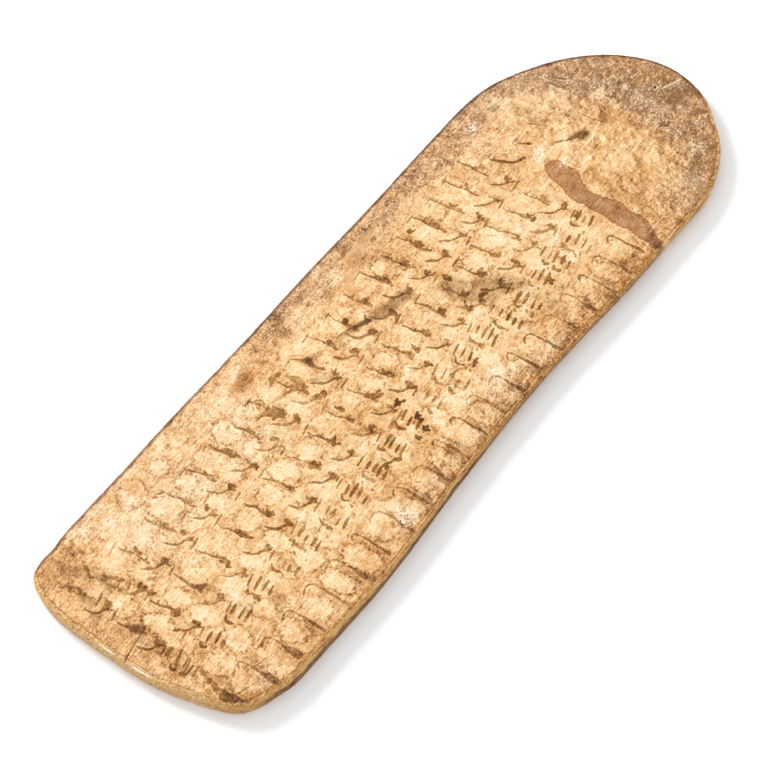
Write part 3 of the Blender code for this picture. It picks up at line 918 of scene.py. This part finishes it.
class Recipe:
    """Short calls that put nodes into one node tree. A mask is a value from 0 to 1."""

    def __init__(self, tree):
        self.tree = tree

    def put(self, kind, sockets, **settings):
        """Adds a node and gives it back."""
        return put(self.tree, kind, sockets, **settings)

    def number(self, kind, sockets, output, **settings):
        """Adds a node and gives back one of its outputs as a value."""
        return Value(self.tree, self.put(kind, sockets, **settings).outputs[output])

    def kept(self, name):
        """A value that the board's vertices carry."""
        return self.number("ShaderNodeAttribute", {}, "Fac", attribute_name=name)

    def stretched(self, vector, factors):
        """The place with each axis scaled by its own factor."""
        return self.put("ShaderNodeVectorMath", {0: vector, 1: factors}, operation="MULTIPLY").outputs[0]

    def drawn_out(self, place, squeeze):
        """The place squeezed along the grain, so that clouds on it come out long."""
        return self.stretched(place, (1.0, squeeze, 1.0))

    def moved(self, vector, steps):
        """The place shifted along each axis, in millimetres."""
        return self.put("ShaderNodeVectorMath", {0: vector, 1: steps}, operation="ADD").outputs[0]

    def cloud(self, vector, size, detail, roughness, bend=0.0):
        """Uneven values around one half, with lumps of about that size in millimetres."""
        sockets = {"Vector": vector, "Scale": 1.0 / size, "Detail": detail, "Roughness": roughness}
        return self.number("ShaderNodeTexNoise", sockets | {"Distortion": bend}, "Fac")

    def layer(self, mask, under, over, how="MIX"):
        """Lays one colour over another where the mask says."""
        node = self.put("ShaderNodeMix", {0: mask, 6: under, 7: over}, data_type="RGBA", blend_type=how)
        return node.outputs[2]

    def ramp(self, value, stops):
        """Colours along a value from 0 to 1, each stop a place and a colour."""
        node = self.put("ShaderNodeValToRGB", {"Fac": value})
        elements = node.color_ramp.elements
        while len(elements) < len(stops):
            elements.new(0.5)
        for element, (at, colour) in zip(elements, stops):
            element.position = at
            element.color = colour
        return node.outputs["Color"]

    def stain(self, mask, under, clear):
        """A see-through stain: where it is thickest, only these shares of red, green and blue come back."""
        stops = [(at, (*(share**at for share in clear), 1.0)) for at in (0.0, 0.25, 0.5, 0.75, 1.0)]
        return self.layer(1.0, under, self.ramp(mask, stops), "MULTIPLY")

    def shades(self, value, names):
        """The wood's colours from dark to pale, most of them close to the middle."""
        places = (0.0, 0.17, 0.365, 0.5, 0.635, 0.83, 1.0)
        return self.ramp(value, [(at, tone(name)) for at, name in zip(places, names)])


def tone(shade):
    """A colour from its six-digit hexadecimal name, made linear."""
    parts = [int(shade[place:place + 2], 16) / 255.0 for place in (0, 2, 4)]
    linear = [part / 12.92 if part <= 0.04045 else ((part + 0.055) / 1.055) ** 2.4 for part in parts]
    return (*linear, 1.0)


def grain_group():
    """The grain that the face, the rim and the underside share, from a place in millimetres."""
    group = bpy.data.node_groups.new("wood_grain", "ShaderNodeTree")
    group.interface.new_socket(name="Place", in_out="INPUT", socket_type="NodeSocketVector")
    for name in ("Fibres", "Flecks", "Pits", "Relief"):
        group.interface.new_socket(name=name, in_out="OUTPUT", socket_type="NodeSocketFloat")
    work = Recipe(group)
    place = work.put("NodeGroupInput", {}).outputs["Place"]
    fibres = work.cloud(work.drawn_out(place, 0.07), 1.1, 4.0, 0.6, 0.4)
    flecks = work.cloud(work.drawn_out(place, 0.55), 2.4, 5.0, 0.68).between(0.52, 0.7)
    cells = {"Vector": place, "Scale": 1.0 / 5.5, "Randomness": 1.0}
    pits = work.number("ShaderNodeTexVoronoi", cells, "Distance").between(0.11, 0.05)
    fine = work.cloud(place, 1.0, 2.0, 0.8)
    relief = fibres * 0.09 + fine * 0.1 - flecks * 0.05 - pits * 0.12
    work.put("NodeGroupOutput", {"Fibres": fibres, "Flecks": flecks, "Pits": pits, "Relief": relief})
    return group


wood_grain = grain_group()
BUMP_REACH = 1.0 * MM
FACE_GRIT = 0.78
WIPED_PALENESS = 0.47
BARE_PALENESS = 0.42
TURNED_DOWN = -0.8


def new_finish(name):
    """A new material, its shader, a recipe for its nodes, the place in millimetres and the shared grain."""
    made = bpy.data.materials.new(name)
    made.use_nodes = True
    work = Recipe(made.node_tree)
    place = work.stretched(work.put("ShaderNodeTexCoord", {}).outputs["Object"], (1000.0, 1000.0, 1000.0))
    ends = work.put("ShaderNodeGroup", {}, node_tree=wood_grain)
    work.tree.links.new(place, ends.inputs["Place"])
    grain = {end.name: Value(work.tree, end) for end in ends.outputs}
    return made, made.node_tree.nodes["Principled BSDF"], work, place, grain


def join_up(work, shader, colour, height):
    """Gives a shader its colour and its bumps."""
    bump = work.put("ShaderNodeBump", {"Height": height, "Distance": BUMP_REACH, "Strength": 1.0})
    work.tree.links.new(colour, shader.inputs["Base Color"])
    work.tree.links.new(bump.outputs["Normal"], shader.inputs["Normal"])


washed_wood, shader, work, place, grain = new_finish("washed_wood")

# How pale the wood is at each spot, from 0 for the darkest brown to 1 for cream, with clouds in it from
# three centimetres wide down to grit, streaks along the grain, and painted light and shade on lumps and
# folds.
away_from_light = work.moved(place, (0.5, 0.5, 0.0))
farther_from_light = work.moved(place, (1.2, 1.2, 0.0))
wide_cloud = work.cloud(place, 30.0, 2.0, 0.8)
cloud = work.cloud(place, 9.0, 3.0, 0.7)
small_cloud = work.cloud(work.drawn_out(place, 0.6), 3.6, 3.0, 0.8)
grit = work.cloud(work.drawn_out(place, 0.5), 0.95, 1.0, 1.0)
streaks = work.cloud(work.drawn_out(place, 0.14), 1.0, 2.0, 0.8)
crust_kept, ashen_kept = work.kept("crust"), work.kept("ashen")
patchy = crust_kept.between(0.25, 0.6, 0.8, 2.0)
crust_mask = crust_kept.ragged(cloud, patchy).ragged(small_cloud, patchy * 0.6).between(0.28, 1.0)
pale = work.kept("paleness").ragged(wide_cloud, crust_kept.between(0.2, 0.8, 0.42, 0.34))
crumpled = work.kept("crumpled")
crumbly = work.cloud(place, 15.0, 2.0, 0.7, 0.4)
gritty = FACE_GRIT + crust_mask * (crumbly.between(0.45, 0.55, 0.75, 1.25) - FACE_GRIT)
gritty *= crumpled.across(1.0, 0.45)
pale = pale.ragged(grit, gritty * ashen_kept.between(0.1, 0.5, 1.0, 1.25))
pale = pale.ragged(streaks, crumpled.across(0.6, 0.3))
# Painted light and shade: a cloud shifted away from the light, minus the cloud itself, makes slopes that
# face the light paler and the far slopes darker. This gives small lumps, and the folds of the crumpled dirt,
# a painted lit side and a painted shaded side.
painted_relief_light = work.cloud(away_from_light, 4.5, 2.0, 0.55, 0.6) - work.cloud(place, 4.5, 2.0, 0.55, 0.6)
pale += painted_relief_light * crust_mask.across(0.38, 1.4)
painted_fold_light = work.cloud(farther_from_light, 9.0, 3.0, 0.7) - cloud
pale += painted_fold_light * (crumpled * 0.9).highest(crust_mask * 0.5)
pale -= crust_mask * 0.06
long_streaks = work.cloud(work.drawn_out(place, 0.07), 4.5, 3.0, 0.7)
pale = pale.ragged(long_streaks, ashen_kept.between(0.2, 0.8, 0.15, 0.5))
scratch_cloud = work.cloud(work.drawn_out(place, 0.025), 1.3, 1.0, 0.5)
scratches = scratch_cloud.between(0.6, 0.68) * wide_cloud.between(0.45, 0.58, 0.15, 1.0)
pale += scratches * 0.19


def plates(under, size, shift, amount):
    """Hard-edged patches a little paler and darker by turns, as one wash after another left them."""
    edge = work.cloud(work.moved(place, (shift, -shift, 0.0)), size, 2.0, 0.75, 0.3)
    stronger = crust_mask.across(amount, 1.3 * amount)
    stronger *= crumpled.across(1.0, 1.1)
    patched = under + edge.between(0.485, 0.515, -1.0, 1.0) * stronger
    line = edge.off(0.5).between(0.016, 0.004)
    return patched - line * (1.2 * amount)


for size, shift, amount in (
    (26.0, 90.0, 0.035), (13.0, 310.0, 0.045), (6.5, 530.0, 0.027), (3.2, 770.0, 0.025),
):
    pale = plates(pale, size, shift, amount)

# The dried drops of wash: pale inside, a thin brown line round most of them, tan between them.
wash_edge = work.kept("wash_gap").ragged(cloud, 13.0).ragged(small_cloud, 5.0)
wash_kept = work.kept("wash_strength")
pillow = wash_edge.between(0.5, -4.0, -0.06, 0.08)
pale += pillow * wash_kept.across(0.4, 1.0)
outline_shown = wide_cloud.between(0.38, 0.55, 0.25, 1.0) * wash_kept.between(0.0, 0.8)
pale -= abs(wash_edge).between(0.95, 0.15) * outline_shown * 0.22
pale -= wash_edge.off(0.6).between(2.2, 0.4) * wash_kept * 0.07

# The ink bled into the wood round it: tan, out to a scalloped line where the bleeding stopped.
bled_edge = work.kept("bled").ragged(cloud, 0.8).ragged(small_cloud, 0.6)
bled_mask = bled_edge.between(0.08, 0.6)
pale -= bled_mask * 0.1
pale -= bled_edge.between(0.13, 0.19) * bled_edge.between(0.27, 0.2) * 0.07

# Short creases where fibres lifted, darkened with painted shade, and crumbs and pits in the crust.
crease_place = work.stretched(place, (0.5, 1.0, 1.0))
crease = work.cloud(crease_place, 8.0, 3.0, 0.6, 0.5).off(0.5)
crease_and_shade = crease.between(0.02, 0.003) * wide_cloud.between(0.46, 0.6, 0.0, 1.0)
painted_curl_shade = work.cloud(place, 4.2, 1.0, 0.5, 0.6).off(0.5).between(0.028, 0.006) * cloud.between(0.48, 0.56)
painted_curl_shade *= crust_kept.between(0.0, 0.5, 0.25, 1.0)
pale = pale.highest(crust_mask * wide_cloud.between(0.4, 0.6, 0.12, 0.25))
# Painted shade: both kinds of crease are darkened in the colour; the long creases are also pressed into the
# bumps.
pale -= crease_and_shade * 0.12
pale -= painted_curl_shade * crust_mask.across(0.13, 0.17)
crumb_cloud = work.cloud(place, 1.4, 2.0, 0.9)
crumb_amount = crust_mask.across(0.1, 0.33) * crumbly.between(0.45, 0.55, 0.2, 1.6)
crumb_amount += crust_kept.between(0.2, 0.4, 0.0, 0.06)
crumbs = crumb_cloud.between(0.57, 0.64) * crumb_amount
pale += crumbs
pale -= crumb_cloud.between(0.42, 0.34) * crust_mask.across(0.05, 0.04)

# Painted highlight: bare wood just beside the ink is made paler, as a lit lip along each pressed-in stroke.
ink_kept, ink_strong = work.kept("ink_gap"), work.kept("ink_strength")
pale += ink_kept.between(0.35, 0.6) * ink_kept.between(1.5, 0.9) * ink_strong * 0.16

# Tracks where something was wiped along the board: pale lines, and a smooth strip that bends.
track_gap = work.kept("track_gap").ragged(small_cloud, 1.5)
track_line = abs(track_gap).between(0.5, 0.1)
track_kept = work.kept("track_strength")
track_inside = track_gap.between(0.2, -0.5) * track_kept.between(0.7, 0.9)
pale += (WIPED_PALENESS - pale) * (track_inside * 0.65)

# The wood's colours from dark to pale, warm in the middle of the board and ashen towards the edges.
warm = work.shades(pale, ("5A3A1E", "996A3A", "C8975F", "DBB07B", "E6C294", "E8D2AC", "E8DDC4"))
cold = work.shades(pale, ("543B26", "916A47", "C09870", "D7B289", "E4C4A0", "E9D4B9", "EADFCC"))
colour = work.layer(ashen_kept.ragged(cloud, 1.6).between(0.1, 0.9), warm, cold)
blotches = work.cloud(work.drawn_out(place, 0.8), 8.0, 3.0, 0.85, 0.4)
whitish = blotches.between(0.53, 0.6) * crust_kept.between(0.1, 0.6)
colour = work.layer(whitish * 0.18, colour, tone("E9CFA8"))
brownish = blotches.between(0.47, 0.4) * crust_kept.between(0.1, 0.6)
colour = work.stain(brownish * 0.4, colour, (0.72, 0.58, 0.42))
ochre_kept = work.kept("ochre") + work.cloud(place, 22.0, 2.0, 0.7).between(0.45, 0.62, 0.0, 0.4)
colour = work.stain(ochre_kept.ragged(small_cloud, 1.4).between(0.15, 1.0), colour, (0.78, 0.62, 0.42))
colour = work.stain(bled_mask, colour, (0.91, 0.79, 0.6))

colour = work.stain(track_inside, colour, (0.93, 0.88, 0.8))
track_bright = track_kept.off(0.5).between(0.3, 0.1) * 0.6
line_shown = track_bright.highest(small_cloud.between(0.45, 0.58, 0.0, 0.4))
colour = work.layer(track_line * line_shown, colour, tone("F0DDBC"))

# The spill, uneven inside and darker where its rim dried, and smears of soot and old ink.
spill_edge = work.kept("spill_gap").ragged(cloud, 7.0).ragged(small_cloud, 3.0)
spill_mask = spill_edge.between(0.4, -0.4) * cloud.between(0.35, 0.6, 0.75, 1.05)
spill_mask *= work.kept("spill_strength")
spill_rim = spill_edge.between(0.4, -0.1) * spill_edge.between(-1.4, -0.4)
colour = work.stain(spill_mask, colour, (0.53, 0.405, 0.33))
colour = work.stain(spill_rim * 0.5, colour, (0.6, 0.5, 0.42))
smear_edge = work.kept("smear_gap").ragged(small_cloud, 5.0).ragged(streaks, 3.0)
smear_mask = smear_edge.between(2.2, -3.0) * work.kept("smear_strength")
smear_mask *= small_cloud.ragged(streaks, 0.6).between(0.36, 0.6, 0.5, 1.15)
colour = work.stain(smear_mask, colour, (0.2, 0.158, 0.085))

# Chalk left from the wash, in crumbs.
chalk_mask = work.kept("chalk").ragged(crumb_cloud, 4.5).between(0.75, 1.2)
colour = work.layer(chalk_mask * 0.8, colour, tone("F4E6CE"))

# The ink: worn through in places.
ink_edge = ink_kept.ragged(crumb_cloud, 1.3)
ink_wear = small_cloud.between(0.32, 0.55, 0.5, 1.0) * ink_edge.between(-1.0, -0.3, 0.8, 1.1)
ink_mask = ink_edge.between(0.25, -0.2) * ink_strong * ink_wear
colour = work.stain(ink_mask, colour, (0.15, 0.107, 0.037))
colour = work.stain(grain["Pits"] * 0.7, colour, (0.2, 0.16, 0.13))

# The rim: rubbed bright along the arris with a dark line inside it, and painted shade low on the wall, where
# it turns under.
edge_kept = work.kept("from_edge")
rim_edge = edge_kept.ragged(small_cloud, 3.5).ragged(cloud, 2.5)
rubbed_kept = work.kept("rubbed")
bright_rim = rim_edge.between(2.2, 1.4) * rubbed_kept
rim_streaks = work.cloud(work.stretched(place, (1.0, 0.1, 1.6)), 1.2, 3.0, 0.9)
rim_pale = (rubbed_kept * 0.46).ragged(rim_streaks, 2.6)
rim_shades = work.shades(rim_pale, ("563920", "8A5F30", "B88848", "CFA062", "DFB980", "E7D0A8", "E7DCC2"))
colour = work.layer(bright_rim * 0.85, colour, rim_shades)
splinters = rim_streaks.between(0.54, 0.6) * rim_edge.between(3.5, 2.0)
splinters *= rubbed_kept.between(0.5, 0.9, 0.0, 0.6)
colour = work.layer(splinters, colour, tone("EFD3A2"))
strand_gap = rim_edge.off(3.0).between(0.6, 0.15) * rubbed_kept.between(0.5, 0.9)
strand_gap *= streaks.between(0.4, 0.55, 0.2, 0.8)
colour = work.stain(strand_gap, colour, (0.45, 0.32, 0.18))
golden_kept = work.kept("golden")
colour = work.stain(rim_edge.between(7.5, 1.5) * golden_kept, colour, (0.8, 0.62, 0.38))
golden_crumbs = crumb_cloud.between(0.55, 0.62) * rim_edge.between(4.0, 2.0)
colour = work.layer(golden_crumbs * (golden_kept * 0.8), colour, tone("F0D49C"))
dark_line = rim_edge.between(3.0, 1.8) * (1.0 - rubbed_kept)
colour = work.stain(dark_line * 0.9, colour, (0.3, 0.23, 0.17))
# Painted shade on the wall below that level, broken up by streaks.
level = work.number("ShaderNodeSeparateXYZ", {0: place}, "Z")
under_shade_level = work.kept("wall_shade_level") - level.ragged(small_cloud, 7.0)
lower_wall_shade = edge_kept.between(0.5, 0.1) * under_shade_level.between(-0.8, 0.8)
lower_wall_shade *= rim_streaks.between(0.58, 0.45, 0.5, 1.0)
colour = work.stain(lower_wall_shade * work.kept("painted_wall_shade"), colour, (0.25, 0.19, 0.12))
# Painted highlight: a thin near-white line along the ridge at the foot.
ridge_highlight_mask = edge_kept.ragged(cloud, 1.2).off(1.0).between(0.55, 0.2) * wide_cloud.between(0.42, 0.5)
colour = work.layer(ridge_highlight_mask * work.kept("painted_ridge_highlight") * 0.9, colour, tone("F4E8D4"))

shader.inputs["Specular IOR Level"].default_value = 0.25
height = grain["Relief"] + small_cloud * 0.55 + cloud * crumpled.across(1.15, 2.2) + crumbs * 0.45
height = height - crease_and_shade * 0.1 + chalk_mask * 0.05 - ink_mask * 0.05
join_up(work, shader, colour, height)
rough = small_cloud.between(0.35, 0.65, 0.5, 0.68) + crust_mask * 0.12
work.tree.links.new(rough.socket, shader.inputs["Roughness"])
board.data.materials.append(washed_wood)

# The underside is bare, never written on: the same grain, browner, with long patches where it was handled.
bare_wood, shader, work, place, grain = new_finish("bare_wood")
bare_patches = work.cloud(work.drawn_out(place, 0.13), 15.0, 5.0, 0.65, 0.35)
bare_pale = BARE_PALENESS + (bare_patches - 0.5) * 1.7
bare_pale = bare_pale.ragged(grain["Fibres"], 0.9)
bare_pale -= grain["Flecks"] * 0.12
colour = work.shades(bare_pale, ("5A412A", "86633F", "AE8558", "C49A6A", "D0A878", "DAB88C", "E2C8A4"))
colour = work.stain(grain["Pits"] * 0.8, colour, (0.25, 0.2, 0.16))
height = grain["Relief"] + bare_patches * 1.2
join_up(work, shader, colour, height)
shader.inputs["Roughness"].default_value = 0.7
board.data.materials.append(bare_wood)
for polygon in board.data.polygons:
    polygon.material_index = 1 if polygon.normal.z < TURNED_DOWN else 0

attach(board, "root")
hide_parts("board")
